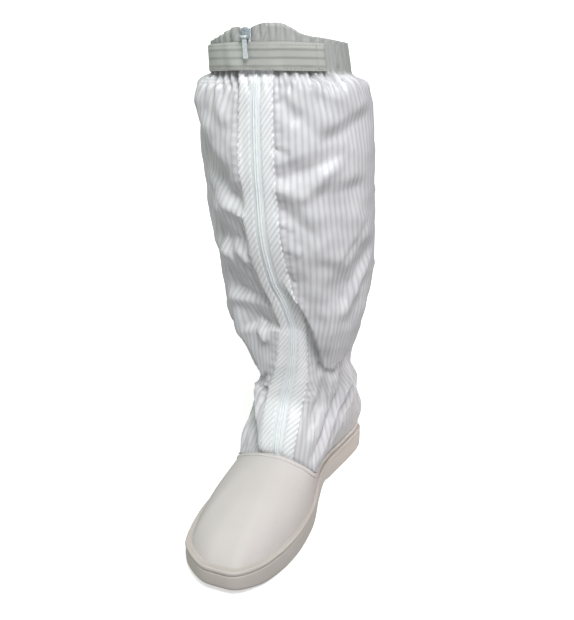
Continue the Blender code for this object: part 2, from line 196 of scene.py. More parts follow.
def makePiece(name, sheets, finish, node=None, body="boot", weld=True, shift=None):
    # quads between neighbouring grid points; the whole mesh is turned so that its volume is positive
    points, corners, patterns, start = [], [], [], 0
    for sheet in sheets:
        rows, columns = sheet.points.shape[:2]
        r, c = np.meshgrid(np.arange(rows - (sheet.wraps < 2)), np.arange(columns - (sheet.wraps < 1)),
                           indexing="ij")
        around = ((r, c), (r, c + 1), (r + 1, c + 1), (r + 1, c))
        quad = np.stack([(a % rows) * columns + b % columns for a, b in around], axis=-1)
        points.append(sheet.points.reshape(-1, 3))
        corners.append(quad.reshape(-1, 4) + start)
        start += rows * columns
        pattern = sheet.pattern
        if pattern is None:
            patterns.append(np.zeros((quad.size, 2)))
        else:
            patterns.append(np.stack([pattern[a, b] for a, b in around], axis=2).reshape(-1, 2))
    points = np.concatenate(points) + (centring if shift is None else shift)
    corners = np.concatenate(corners)
    patterns = np.concatenate(patterns).reshape(-1, 4, 2)
    a, b, c, d = (points[corners[:, k]] - points.mean(axis=0) for k in range(4))
    volume = (a * (np.cross(b, c) + np.cross(c, d))).sum()
    if volume < 0:
        corners = corners[:, ::-1]
        patterns = patterns[:, ::-1]
    mesh = bpy.data.meshes.new(name)
    mesh.vertices.add(len(points))
    mesh.vertices.foreach_set("co", (points * mm).ravel())
    mesh.loops.add(corners.size)
    mesh.loops.foreach_set("vertex_index", corners.ravel().astype(np.int32))
    mesh.polygons.add(len(corners))
    mesh.polygons.foreach_set("loop_start", np.arange(0, corners.size, 4, dtype=np.int32))
    mesh.uv_layers.new(name="pattern").data.foreach_set("uv", patterns.ravel())
    mesh.update(calc_edges=True)
    if weld:
        shape = bmesh.new()
        shape.from_mesh(mesh)
        bmesh.ops.remove_doubles(shape, verts=shape.verts, dist=2e-6)
        bmesh.ops.recalc_face_normals(shape, faces=shape.faces)
        shape.to_mesh(mesh)
        shape.free()
    mesh.shade_smooth()
    mesh.set_sharp_from_angle(angle=np.radians(55))
    mesh.materials.append(finishes[finish])
    piece = addObject(name, mesh)
    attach(piece, body)
    if node:
        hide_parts(node)
    return piece


# Finishes

waveUnit = 0.314  # the wave texture's scale for one band to a unit of length
clothLook = SimpleNamespace(
    pale="#c4c4c5", stripe="#aeaeb4", pitch=5.0, line=1.1, soft=0.95,
    casing={"pale": "#9a9c99", "stripe": "#929491"}, thread=0.5,
)


def stripedCloth(name, pale, stripe, lean, pitch, line, doubledOrLitPair):
    # antistatic polyester taffeta: pale filament weave with grey carbon yarns at even spacing, a soft silky
    # gloss on folds; yarns and threads are drawn coarser than real so that they show; the second pair of
    # colours takes over along one pattern axis: darker where the cloth is doubled, and lighter as a painted
    # highlight on the strap's end where it faces the light
    finish, add, shader = newFinish(name, {"Roughness": 0.4, "IOR": 1.52, "Sheen Weight": 0.03,
                                           "Sheen Roughness": 0.4})
    place = add("UVMap", uv_map="pattern")
    onPlace = {"Vector": (place, "UV")}
    turned = add("Mapping", {"Rotation": (0, 0, np.radians(lean)), **onPlace})
    axis = add("SeparateXYZ", {"Vector": (turned, "Vector")})
    near = add("Math", {0: (axis, "X"), 1: pitch / 2}, operation="PINGPONG")
    soft = clothLook.soft
    mask = remap(add, (near, "Value"), line - soft, line + soft, 1.0, 0.0, "SMOOTHSTEP")
    cloudy = add("TexNoise", {"Scale": 0.06, "Detail": 3.0, **onPlace})
    tone = remap(add, (cloudy, "Fac"), 0.3, 0.7, 0.0, 0.35)
    strength = add("Math", {0: (mask, "Result"), 1: (tone, "Result")}, operation="SUBTRACT", use_clamp=True)
    # the second pair is the doubled cloth's darker colours, or on the strap a lighter pair that is painted
    # light
    colour, other = [add("Mix", {0: (strength, "Value"), 6: hexColour(one), 7: hexColour(two)},
                         data_type="RGBA")
                     for one, two in ((pale, stripe), (doubledOrLitPair["pale"], doubledOrLitPair["stripe"]))]
    way = add("SeparateXYZ", onPlace)
    band = remap(add, (way, doubledOrLitPair["axis"]), doubledOrLitPair["from"], doubledOrLitPair["to"])
    both = add("Mix", {0: (band, "Result"), 6: (colour, 2), 7: (other, 2)}, data_type="RGBA")
    weave = add("TexWave", {"Scale": waveUnit / clothLook.thread, "Distortion": 0.6, "Detail": 1.0,
                            **onPlace}, bands_direction="Y")
    rough = add("TexNoise", {"Scale": 0.35, "Detail": 4.0, **onPlace})
    level = add("Math", {0: (weave, "Fac"), 1: 0.35}, operation="MULTIPLY")
    summed = add("Math", {0: (level, "Value"), 1: (rough, "Fac")}, operation="ADD")
    raised = add("Math", {0: (summed, "Value"), 1: (mask, "Result")}, operation="ADD")
    gloss = remap(add, (rough, "Fac"), 0.3, 0.7, 0.38, 0.5)
    duller = add("Math", {0: (band, "Result"), 1: 0.25, 2: (gloss, "Result")}, operation="MULTIPLY_ADD")
    surface(add, shader, both, (raised, "Value"), 0.12, 0.0004, Roughness=(duller, "Value"))
    return finish


def grainedSkin(name, colour, shade, grain, values, height, dirt):
    # cast or coated polyurethane: a warm white skin with a fine pebble, faint mottling and grime low down
    finish, add, shader = newFinish(name, values)
    place = add("TexCoord")
    onPlace = {"Vector": (place, "Object")}
    mottle = add("TexNoise", {"Scale": 22.0, "Detail": 4.0, "Roughness": 0.6, **onPlace})
    ease = remap(add, (mottle, "Fac"), 0.35, 0.75)
    base = add("Mix", {0: (ease, "Result"), 6: hexColour(colour), 7: hexColour(shade)}, data_type="RGBA")
    axis = add("SeparateXYZ", onPlace)
    grime, reach, most = dirt
    low = remap(add, (axis, "Z"), 0.0, reach, most, 0.0, "SMOOTHSTEP")
    speck = add("TexNoise", {"Scale": 160.0, "Detail": 5.0, "Roughness": 0.7, **onPlace})
    patch = add("Math", {0: (low, "Result"), 1: (speck, "Fac")}, operation="MULTIPLY")
    soiled = add("Mix", {0: (patch, "Value"), 6: (base, 2), 7: hexColour(grime)}, data_type="RGBA")
    pebble = add("TexVoronoi", {"Scale": 1000.0 / grain, "Randomness": 1.0, **onPlace}, feature="SMOOTH_F1")
    drift = add("TexNoise", {"Scale": 90.0, "Detail": 3.0, **onPlace})
    grained = add("Math", {0: (pebble, "Distance"), 1: (drift, "Fac")}, operation="ADD")
    middle = values["Roughness"]
    gloss = remap(add, (speck, "Fac"), 0.3, 0.7, middle - 0.06, middle + 0.08)
    surface(add, shader, soiled, (grained, "Value"), height, 0.0003, Roughness=(gloss, "Result"))
    return finish


def ribbedWeave(name, colour, shade, rib, along, roughness):
    # narrow woven goods: close ribs across or along the strip, seen as a fine corded sheen
    finish, add, shader = newFinish(name, {"Roughness": roughness, "Sheen Weight": 0.2, "IOR": 1.5})
    place = add("UVMap", uv_map="pattern")
    wave = add("TexWave", {"Scale": waveUnit / rib, "Distortion": 0.4, "Detail": 1.0,
                           "Vector": (place, "UV")}, bands_direction="X" if along else "Y")
    tint = add("Mix", {0: (wave, "Fac"), 6: hexColour(shade), 7: hexColour(colour)}, data_type="RGBA")
    surface(add, shader, tint, (wave, "Fac"), 0.35, 0.0003)
    return finish


def hardCoat(name, colour, shade, values, scale):
    # sprayed enamel or drawn nylon: even colour with slight wear and an orange-peel surface
    finish, add, shader = newFinish(name, values)
    place = add("TexCoord")
    wear = add("TexNoise", {"Scale": scale, "Detail": 4.0, "Vector": (place, "Object")})
    ease = remap(add, (wear, "Fac"), 0.4, 0.7)
    tint = add("Mix", {0: (ease, "Result"), 6: hexColour(colour), 7: hexColour(shade)}, data_type="RGBA")
    surface(add, shader, tint, (wear, "Fac"), 0.15, 0.0002)
    return finish


finishes = {
    "sole": grainedSkin("cast polyurethane", "#bab4ae", "#b3ada6", 0.9,
                        {"Roughness": 0.5, "IOR": 1.5}, 0.12, ("#9b9488", 0.006, 0.5)),
    "upper": grainedSkin("coated microfibre", "#c2bdba", "#bdb8b4", 0.8,
                         {"Roughness": 0.64, "IOR": 1.45, "Coat Weight": 0.04, "Coat Roughness": 0.5}, 0.15,
                         ("#b3ada2", 0.03, 0.15)),
    "cloth": stripedCloth("striped polyester", clothLook.pale, clothLook.stripe, 0.0,
                          clothLook.pitch, clothLook.line,
                          {"axis": "Y", "from": 414, "to": 419, **clothLook.casing}),
    "facing": stripedCloth("bias cut polyester", "#dcdede", "#bfc1c5", 35.1, 3.25, 0.65,
                           {"axis": "Y", "from": 424, "to": 430, **clothLook.casing}),
    # the strap's lighter second pair, left of the zip, is a painted highlight where that end faces the light
    "strap": stripedCloth("grey striped polyester", "#a4a6a0", "#838681", 90.0, 6.3, 1.0,
                          {"axis": "X", "from": 2, "to": -10, "pale": "#b2b4af", "stripe": "#93968f"}),
    "tape": ribbedWeave("zip tape polyester", "#dde1e3", "#d2d7d9", 0.9, True, 0.6),
    "coil": hardCoat("drawn nylon", "#dfe3e4", "#d5d9db", {"Roughness": 0.38, "IOR": 1.53}, 300.0),
    "enamel": hardCoat("enamelled zinc", "#9aa4aa", "#838e96",
                       {"Roughness": 0.34, "Metallic": 0.15, "Coat Weight": 0.3, "Coat Roughness": 0.2},
                       500.0),
    "tab": hardCoat("worn enamel", "#bcc4c5", "#a9b2b5",
                    {"Roughness": 0.4, "Coat Weight": 0.2, "Coat Roughness": 0.3}, 500.0),
    "thread": ribbedWeave("sewing thread", "#e6e7e4", "#cfd1ce", 0.3, False, 0.7),
    "strapThread": ribbedWeave("grey sewing thread", "#b0b2ac", "#9a9c97", 0.3, False, 0.7),
    "foam": grainedSkin("lined foam", "#b9bab6", "#adaeab", 1.6, {"Roughness": 0.85}, 0.4,
                        ("#8d8c86", 0.02, 0.2)),
}
print("finishes", len(finishes))

# Sole: a plan loop set in and lifted step by step up the edge profile

sole = SimpleNamespace(
    length=290.0, blunt=0.5, steps=144, lip=3.0, gap=0.3,
    outline=[(0, 9, 39), (0.14, 0, 34), (0.30, -6, 30), (0.45, -10, 39.2), (0.62, -9, 49.6),
             (0.76, -8.2, 52.6), (0.90, -7.8, 51.4), (1, -2.6, 38.1)],  # along, centre, half width
    heights=[(0, 1.5, 15.5, 24.8), (0.04, 0, 15.5, 24.5), (0.27, 0, 15, 24), (0.34, 3.5, 14.5, 24),
             (0.46, 3.5, 13.4, 24), (0.54, 0, 12.4, 24), (0.80, 0, 12, 24), (0.90, 1.6, 12.4, 24.4),
             (1, 6, 14, 25.6)],  # along, tread, recess floor, rim
    edge=[(0, 4, 0, 0), (1, 1.6, 0, 0.9), (2, 0.5, 0, 3.2), (3, 0, 0.5, 0), (4, 0.3, 1, -5.2),
          (5, 0.9, 1, -4.5), (6, 0.9, 1, -3.9), (7, 0, 1, -3.2), (8, -0.2, 1, -1.7), (9, 0.4, 1, -0.4),
          (10, 1.5, 1, 0), (11, 2.6, 1, -0.2), (12, 3, 1, -0.4)],  # step, inset, tread to rim, lift
    edgeRows=73, treadPitch=8.0, treadDepth=1.5, treadAcross=48, treadSlant=2.2,
    bead=[(0.3, 0.45), (0.65, 0.4), (1.0, 0.5), (0.9, 1.3), (0.0, 3.2)],  # reach, drop
)


def soleLoop(steps):
    # blunt oval: centre plus half width times sine to a power, in even steps from the heel by the
    # medial side to the toe
    turn = np.linspace(0, np.pi, 1441)
    share = (1 - np.cos(turn)) / 2
    across = through(sole.outline, share)[:, 1] * np.sin(turn).clip(0) ** sole.blunt
    run = np.append(0, np.cumsum(np.hypot(np.diff(across), sole.length * np.diff(share))))
    turn = np.interp(np.linspace(0, run[-1], steps + 1), run, turn)
    turn = np.append(turn, turn[-2:0:-1])
    side = np.append(np.ones(steps + 1), -np.ones(steps - 1))
    step = np.append(np.arange(steps + 1), np.arange(steps - 1, 0, -1)) / steps
    share = (1 - np.cos(turn)) / 2
    centre, half = through(sole.outline, share).T
    plan = np.stack([centre + side * half * np.sin(turn).clip(0) ** sole.blunt,
                     sole.length * (0.5 - share)], axis=-1)
    chord = chordAt(plan)
    outward = unit(np.stack([-chord[:, 1], chord[:, 0]], axis=-1))
    tread, floor, rim = through(sole.heights, share).T
    return SimpleNamespace(plan=plan, outward=outward, side=side, step=step, tread=tread, floor=floor,
                           rim=rim)


loop = soleLoop(sole.steps)


def loopAt(inset, height):
    plan = loop.plan - loop.outward * np.reshape(inset, (-1, 1))
    return np.column_stack([plan, np.broadcast_to(height, len(plan))])


def acrossLoop(ring, count):
    # straight lines from the medial half of a loop to the lateral half
    medial = ring[:sole.steps + 1]
    lateral = np.concatenate([ring[:1], ring[:sole.steps - 1:-1]])
    way = np.linspace(0, 1, count)[None, :, None]
    return medial[:, None] * (1 - way) + lateral[:, None] * way


edge = through(sole.edge, np.linspace(0, 12, sole.edgeRows))
edgeRings = np.array([loopAt(inset, loop.tread + (loop.rim - loop.tread) * rise + lift)
                      for inset, rise, lift in edge])
recess = loopAt(sole.lip, loop.floor)
soleLow = np.concatenate([edgeRings.reshape(-1, 3), recess]).min(axis=0)
centring = np.array(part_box("outsole")[0]) / mm - soleLow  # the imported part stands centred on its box
under = acrossLoop(edgeRings[0], sole.treadAcross)
# chevron bars: a wave along the sole that slants back from the middle, cut into the tread with soft walls
slant = np.abs(np.linspace(-1, 1, sole.treadAcross))[None, :] * sole.treadSlant
bars = swing(under[..., 1] / sole.treadPitch + slant)
inside = fade(0.02, 0.09, np.linspace(0, 1, sole.treadAcross))[None, :]
inside = inside * inside[:, ::-1] * fade(0.01, 0.03, np.linspace(0, 1, sole.steps + 1))[:, None]
inside = inside * inside[::-1]
under[..., 2] += sole.treadDepth * fade(-0.1, 0.5, bars) * inside
insole = SimpleNamespace(
    edge=5.8, profile=[(0, 0), (0, 1.6), (0, 3.2), (0.24, 3.77), (0.8, 4.0)],  # inset, lift
)
insoleRings = np.array([loopAt(insole.edge + inset, loop.floor + sole.gap + lift)
                        for inset, lift in insole.profile])
makePiece("insoleSheet", [sheetOf(insoleRings, 1), sheetOf(acrossLoop(insoleRings[-1], 24)),
                          sheetOf(acrossLoop(insoleRings[0], 24))],
          "foam", "insole")
print("sole and insole")

# Upper: each profile leaves the sole upright and rolls over to meet the topline

upper = SimpleNamespace(
    wall=1.5, roll=np.radians(70), corner=0.5, throat=(-2.0, -19.0, 66.5), throatFlat=0.75,
    quarter=[(0, 34, 34), (0.3, 29.8, 30.5), (0.6, 28.8, 30), (0.85, 33, 33.5), (1, 46, 46)],
    binding=5.0, bindingOut=0.8, bindingIn=-2.0, bindingBlunt=0.6, rows=60, skinRows=241,
)


def topline():
    # low along the quarters, then up and in over the instep to the throat
    share = np.clip(loop.step / upper.corner, 0, 1)
    heights = through(upper.quarter, share)
    line = loopAt(sole.lip + sole.gap, np.where(loop.side > 0, heights[:, 0], heights[:, 1]))
    half = sole.steps
    climb = np.clip((loop.step - upper.corner) / (1 - upper.corner), 0, 1)
    corner = np.where(loop.side[:, None] > 0, line[half // 2], line[2 * half - half // 2])
    rise = np.sin(climb * np.pi / 2) ** upper.throatFlat
    front = corner + (np.array(upper.throat) - corner) * np.stack([climb, rise, rise], axis=-1)
    return np.where(climb[:, None] > 0, front, line)


def upperSkin(rows):
    # in by one minus cosine and up by sine of the roll, from the recess to the topline
    foot = loopAt(sole.lip + sole.gap, loop.floor + sole.gap)
    roll = np.linspace(0, upper.roll, rows)[:, None]
    inward = (1 - np.cos(roll)) / (1 - np.cos(upper.roll))
    upward = np.sin(roll) / np.sin(upper.roll)
    skin = foot + (topline() - foot) * np.stack([inward, inward, upward], axis=-1)
    around = chordAt(skin, 1)
    return skin, unit(np.cross(np.gradient(skin, axis=0), around))


skin, skinOut = upperSkin(upper.skinRows)
skinRun = lengthAlong(skin)


def onUpper(fromTop, lift):
    # points a length below the topline on every profile; rows of lengths, one column for each profile
    target = np.clip(skinRun[-1] - fromTop, 0, None)
    i = np.clip((skinRun[:, None] <= target[None]).sum(axis=0) - 1, 0, len(skinRun) - 2)
    column = np.arange(skin.shape[1])[None]
    t = ((target - skinRun[i, column]) / (skinRun[i + 1, column] - skinRun[i, column]))[..., None]
    point = skin[i, column] * (1 - t) + skin[i + 1, column] * t
    out = unit(skinOut[i, column] * (1 - t) + skinOut[i + 1, column] * t)
    return point + out * np.broadcast_to(lift, target.shape)[..., None], out


# the sole's lip reaches in to the vamp as a thin bead, a hair short of it
rimShare = np.clip((loop.rim - 0.5 - skin[0, :, 2]) / (skin[-1, :, 2] - skin[0, :, 2]), 0, 1)
rimRoll = np.arcsin(rimShare * np.sin(upper.roll))
spread = np.linalg.norm((skin[-1] - skin[0])[:, :2], axis=-1)
bead = np.clip(sole.gap + spread * (1 - np.cos(rimRoll)) / (1 - np.cos(upper.roll)) - 0.05, 0.05, None)
beadRings = np.array([loopAt(sole.lip + bead * reach, loop.rim - drop) for reach, drop in sole.bead])
makePiece("soleUnit", [sheetOf(np.concatenate([edgeRings, beadRings, recess[None]]), 1),
                       sheetOf(under), sheetOf(acrossLoop(recess, 12))],
          "sole", "outsole")

seam = upper.binding + sole.gap
share = np.linspace(1, 0, upper.rows)[:, None]
fromTop = seam + (skinRun[-1] - seam) * share
wallOut, _ = onUpper(fromTop, 0.0)
wallIn, _ = onUpper(fromTop, -upper.wall)
makePiece("vampAndQuarters", [sheetOf(np.concatenate([wallOut, wallIn[::-1]]), 2)],
          "upper", "upper", weld=False)

# rounded strip: a blunt oval of height 5 and depth 2.8 carried round the topline
turn = fullTurn(28)[:, None]
bindingDepth = (upper.bindingOut - upper.bindingIn) / 2
bindingUp = upper.binding / 2 * (1 - power(np.cos(turn), upper.bindingBlunt))
bindingLift = upper.bindingOut - bindingDepth + bindingDepth * power(np.sin(turn), upper.bindingBlunt)
binding, _ = onUpper(bindingUp + 0 * skinRun[-1], bindingLift + 0 * skinRun[-1])
makePiece("toplineRoll", [sheetOf(binding, 2)], "upper", "topline_binding", weld=False)
print("upper and binding")

# Shaft: oval rings stacked up the leg, with folds and gathers raised on them

shaft = SimpleNamespace(
    count=720, tuck=6.0, under=-3.0, lead=(0.9, 2.2), ankle=116.0, slit=6.0,
    lowerRows=36, upperRows=144, columns=266, thick=0.8, girth=440.0,
    collarRamp=(398.0, 418.0), collarFront=(-16.0, -28.0), collarTilt=(-0.05, 0.16),
    strapTop=440.0, rimLevel=449.0, tuckLevels=(50.0, 54.0), lowerSpan=60.0, easing=150,
    lower=[(0, 0, 0), (0.07, 0.03, 0.25), (0.2, 0.14, 0.7), (0.4, 0.38, 1), (0.6, 0.62, 0.9),
           (0.8, 0.85, 0.5), (1, 1, 0)],  # way up, closing in, swelling
    swell=[(0, 4), (0.12, 6), (0.3, 10), (0.42, 9), (0.52, 4), (0.7, 8), (0.86, 6.5), (1, 4)],
    sections=[
        (116, -6, 66, 47, 43, -1), (140, -7, 50, 52, 44, 9.5), (160, -7.5, 44, 57.4, 46, 13.4),
        (180, -8, 41.5, 63.2, 50.5, 13.6), (200, -8.7, 44, 68, 54.5, 11), (240, -10, 45.5, 73.5, 59, 2.6),
        (300, -11.8, 37.4, 76.7, 61.5, -0.3), (340, -13, 32.3, 78, 62.5, -0.5),
        (380, -14, 31, 77, 61.5, -0.5), (400, -14.2, 25.5, 74.8, 59, -0.3),
        (409, -13.6, 23.7, 70.5, 55.5, -0.8), (418, -14, 21.6, 60.5, 48, -1.8),
        (428, -14.3, 20, 59.5, 47, -4.8), (440, -14.5, 18, 58.5, 46, -6.4),
        (449, -14.5, 17.3, 58, 45.5, -6.4),
    ],  # height, centre, half width, half depth, zip's turn
    rowsByShare=[(0, 116), (0.12, 146), (0.8, 392), (1, 449)],
    # share round from the zip, height of the rim above the strap's top
    rim=[(0, 9), (0.02, 12), (0.045, 14), (0.075, 14), (0.095, 12.6), (0.113, 9.6), (0.13, 6.6),
         (0.15, 4.8), (0.19, 3.6), (0.23, 2.4), (0.27, 1.8), (0.4, 4), (0.6, 5), (0.75, 3), (0.83, 2.5),
         (0.88, 4), (0.915, 6.5), (0.945, 10), (0.968, 11.5), (0.985, 9), (1, 9)],
)


def evenRing(ring, count):
    # the same closed line in even steps, and how far along its own turns each step lies
    run = lengthAlong(ring)
    at = np.linspace(0, run[-1], count, endpoint=False)
    return pointsAt(at, run, ring), np.interp(at, run, np.linspace(0, 1, len(ring)))


def sectionRing(height):
    # oval: centre plus half width by sine, minus half depth by cosine, starting at the zip's turn
    x, y, width, depth, start = through(shaft.sections, height)
    angle = np.radians(start) + np.linspace(0, 2 * np.pi, 4 * shaft.count + 1)
    ring = stacked(x + width * np.sin(angle), y - depth * np.cos(angle), height)
    ring, turns = evenRing(ring, shaft.count)
    return ring, (start / 360 + turns) * shaft.girth


def plainShaft():
    # tucked rows behind the binding, rows that swell up to the ankle, then the oval sections to the rim
    half = sole.steps
    order = np.concatenate([np.arange(half, -1, -1), np.arange(2 * half - 1, half - 1, -1)])
    columns = np.ones(2 * half)
    point, out = onUpper(np.array([[shaft.tuck], [0.6], [0.0]]) * columns, 0.0)
    lead = unit(point[2] - point[1])
    tuck = point[0] + out[0] * shaft.under
    bend = point[2] + lead * shaft.lead[0] + out[2] * shaft.under
    over = point[2] + lead * shaft.lead[1] + out[2] * upper.bindingOut
    tuck, bend, base = (evenRing(ring[order], shaft.count)[0] for ring in (tuck, bend, over))
    # the cloth slips behind the binding where the topline turns: each point takes the lowest height near it
    base[:, 2] = np.min([np.roll(base[:, 2], step) for step in range(-5, 6)], axis=0)
    ankle, meridian = sectionRing(shaft.ankle)
    share = np.arange(shaft.count) / shaft.count
    swell = through(shaft.swell, share)
    side = chordAt(base + ankle)
    out = unit(np.cross(side, np.array([0, 0, 1.0])))
    way = np.linspace(0, 1, shaft.lowerRows) ** 1.15
    closing, push = through(shaft.lower, way).T
    mix = np.stack([closing, closing, way], axis=-1)[:, None]
    lower = base + (ankle - base) * mix + (out * swell) * push[:, None, None]
    heights = np.interp(np.linspace(0, 1, shaft.upperRows + 1)[1:], *np.array(shaft.rowsByShare).T)
    rings, meridians = zip(*[sectionRing(height) for height in heights])
    ring = np.concatenate([[tuck, bend], lower, rings])
    pattern = np.concatenate([np.broadcast_to(meridian, (2 + len(way), len(meridian))), meridians])
    level = np.concatenate([shaft.tuckLevels, shaft.ankle - shaft.lowerSpan * (1 - way), heights])
    # the bend at the ankle is eased by averaging each row with its neighbours
    front = 1 - fade(0.05, 0.11, np.minimum(share, 1 - share))
    ease = (fade(58, 84, level) * fade(184, 140, level))[:, None, None] * (0.2 + 0.8 * front)[None, :, None]
    for _ in range(shaft.easing):
        mean = (np.roll(ring, 1, axis=0) + np.roll(ring, -1, axis=0)) / 2
        ring = ring + 0.5 * ease * (mean - ring)
    low, high = shaft.collarRamp
    lean = (ring[..., :2] - shaft.collarFront) @ shaft.collarTilt
    # above the strap the rows spread out to the uneven rim
    rim = through(shaft.rim, share)[:, 0]
    free = shaft.rimLevel - shaft.strapTop
    above = np.clip((level - shaft.strapTop) / free, 0, 1)[:, None]
    ring[..., 2] += above * (rim - free) - lean * fade(low, high, level)[:, None]
    around = chordAt(ring, 1)
    out = unit(np.cross(around, np.gradient(ring, axis=0)))
    girth = np.linalg.norm(np.roll(ring, -1, axis=1) - ring, axis=-1).sum(axis=1)
    return SimpleNamespace(ring=ring, out=out, level=level, girth=girth, meridian=pattern)


plain = plainShaft()

# soft ridges and troughs from left to right: start arc and height, end arc and height, reach above and
# below, depth out
folds = [
    # left of the zip, from the collar down
    (-40, 406, -28, 372, 8, 8, 2.5), (-76, 396, -14, 320, 34, 28, 8.0), (-84, 335, -15, 308, 34, 12, -9.5),
    (-88, 376, -32, 322, 27, 14, -6.0),
    (-78, 333, -13, 296, 8, 8, 3.0), (-80, 318, -40, 302, 10, 6, -3.5), (-58, 308, -13, 298, 6, 18, 2.5),
    (-62, 268, -13, 276, 28, 12, -9.0), (-54, 264, -20, 248, 13, 20, 5.0), (-44, 272, -22, 240, 6, 6, -2.8),
    (-34, 272, -14, 248, 5, 5, 2.6), (-15, 262, -25, 203, 8, 20, -3.5), (-60, 220, -12, 211, 42, 7, -9.0),
    (-66, 207, -40, 213, 7, 9, 2.5), (-58, 182, -11, 189, 27, 7, -8.5), (-42, 188, -28, 168, 6, 7, 5.5),
    (-92, 300, -66, 250, 16, 16, 3.0), (-94, 262, -66, 212, 13, 13, -3.5),
    # right of the zip
    (46, 410, 72, 396, 7, 7, 1.9), (50, 372, 104, 395, 22, 11, 2.2), (54, 360, 108, 383, 11, 17, -4.7),
    (20, 397, 36, 379, 8, 8, -2.5), (12, 358, 29, 352, 5, 6, -2.5), (12, 345, 80, 363, 14, 13, 1.9),
    (12, 329, 78, 353, 14, 9, -4.3), (12, 327, 40, 316, 8, 9, 2.8), (35, 315, 74, 350, 9, 9, 3.1),
    (46, 317, 96, 321, 11, 17, -4.0), (11, 311, 50, 279, 13, 10, -4.0), (15, 291, 28, 285, 4, 4, -1.9),
    (20, 276, 30, 268, 7, 7, 1.9), (13, 250, 20, 236, 4, 4, -1.9), (40, 302, 52, 258, 13, 13, 1.6),
    (58, 250, 98, 295, 20, 27, 5.2), (60, 252, 97, 292, 5, 5, -2.2), (54, 212, 102, 264, 26, 6, -6.4),
    (50, 203, 99, 257, 5, 7, 3.2), (58, 190, 92, 236, 9, 9, -2.4),
    (36, 214, 41, 152, 10, 10, 2.5), (58, 146, 68, 192, 7, 7, -2.4), (74, 138, 90, 182, 7, 7, 2.5),
    # behind
    (130, 374, 200, 336, 12, 18, -7), (138, 300, 214, 332, 14, 14, 6), (146, 286, 218, 244, 17, 17, -7.5),
    (118, 242, 172, 202, 11, 11, 5.5), (150, 158, 184, 216, 11, 11, -7), (118, 148, 128, 192, 8, 8, -5),
    (-176, 328, -118, 358, 17, 17, -7), (-194, 302, -128, 270, 14, 14, 6.5),
    (-154, 194, -110, 238, 13, 13, -6.5), (-98, 198, -92, 144, 10, 10, 5.5), (-132, 178, -124, 134, 8, 8, -5),
    # below the ankle
    (20, 124, 18, 70, 6, 6, 2), (32, 136, 26, 92, 5, 5, -4.2), (40, 134, 30, 68, 6, 7, 2.8),
    (57, 138, 37, 64, 8, 6, -6.5), (64, 132, 50, 64, 6, 7, 3.2), (71, 128, 66, 64, 6, 6, -5),
    (78, 124, 79, 64, 6, 6, 2.6), (88, 120, 93, 64, 5, 5, -3.6), (97, 118, 106, 64, 6, 6, 2.2),
    (-25, 136, -22, 112, 3.6, 3.6, -5), (-17, 122, -18, 98, 3.4, 3.4, -3.5),
]

# one cloth edge lying over the next: start and end of the edge, drop behind it, reach of the drop, width
# of the edge
tucks = [
    (-34, 128, -18, 54, 13.0, 30, 1.5), (10, 232, 31, 140, 10.0, 10, 2.2), (26, 145, 46, 139, 5.0, 8, 2.0),
    (38, 139, 72, 158, 5.5, 8, 2.0), (-74, 182, -22, 124, 7.5, 13, 2.0),
]

# the leg's slump in front, in at the bend and out below it: each pair is at the zip and to the right of it,
# the reach is above and below the bend, and each three is a depth with its height and width
bends = SimpleNamespace(
    arc=(8.0, 36.0), level=(186.0, 146.0), depth=(11.0, 4.5), reach=(30.0, 38.0), round=6.0,
    out=(9.0, 6.5), outWidth=(28.0, 17.0), outLevel=120.0, left=(-64.0, -36.0),
    right=(122.0, 92.0), lap=(4.0, 86.0, 17.0), full=(7.5, 270.0, 42.0), slack=(4.0, 402.0, 14.0),
)

gathers = SimpleNamespace(
    ankle=(41, 1.1, 119.0), collar=(47, 1.7, 414.0), ruffle=(39, 1.5), fan=(31, 0.9),
    zipCalm=(9.0, 24.0), pucker=(7.3, 18.5, 3.2, 0.55), hang=416.0,
    crumple=[(0.5, 34, 1.3, 0.1), (-0.75, 27, 1.0, 0.4), (1.25, 19, 0.6, 0.7), (-0.2, 14, 0.3, 0.25)],
    # arc, depth, length and width of the deep gathers under the strap
    pits=[(-66, 4.2, 26, 2.2), (-57, 4.8, 30, 2.4), (-47, 5.0, 28, 2.6), (-37, 4.8, 32, 2.4),
          (-28, 4.0, 22, 2.0), (-20, 4.8, 28, 2.2), (-8, 2.4, 20, 1.9), (2.5, 1.8, 22, 1.9),
          (10, 1.8, 16, 1.9), (18, 3.2, 18, 1.9), (28.5, 3.4, 17, 1.9), (37, 2.0, 12, 1.6),
          (46, 3.0, 14, 1.9), (58, 2.4, 16, 1.9), (73, 2.4, 18, 1.9)],
)


def pleat(share, count, phase):
    # uneven waves round the leg: a sine whose pace is itself a sum of slower sines
    pace = 0.33 * swing(3 * share + phase) + 0.24 * swing(7 * share + 2 * phase)
    wave = swing(share * count + pace)
    size = 0.72 + 0.28 * swing(5 * share + 3 * phase)
    return (power(wave, 0.8) + 0.25 * np.sin(4 * np.pi * (share * count + pace) + 1)) * size


def alongLine(arc, level, a0, h0, a1, h1):
    # share of the way along a line on the laid-out cloth, and the distance to its right looking along it
    run = np.hypot(a1 - a0, h1 - h0)
    along = ((arc - a0) * (a1 - a0) + (level - h0) * (h1 - h0)) / run ** 2
    off = ((arc - a0) * (h1 - h0) - (level - h0) * (a1 - a0)) / run
    return fade(-0.1, 0.16, along) * fade(-0.1, 0.16, 1 - along), off


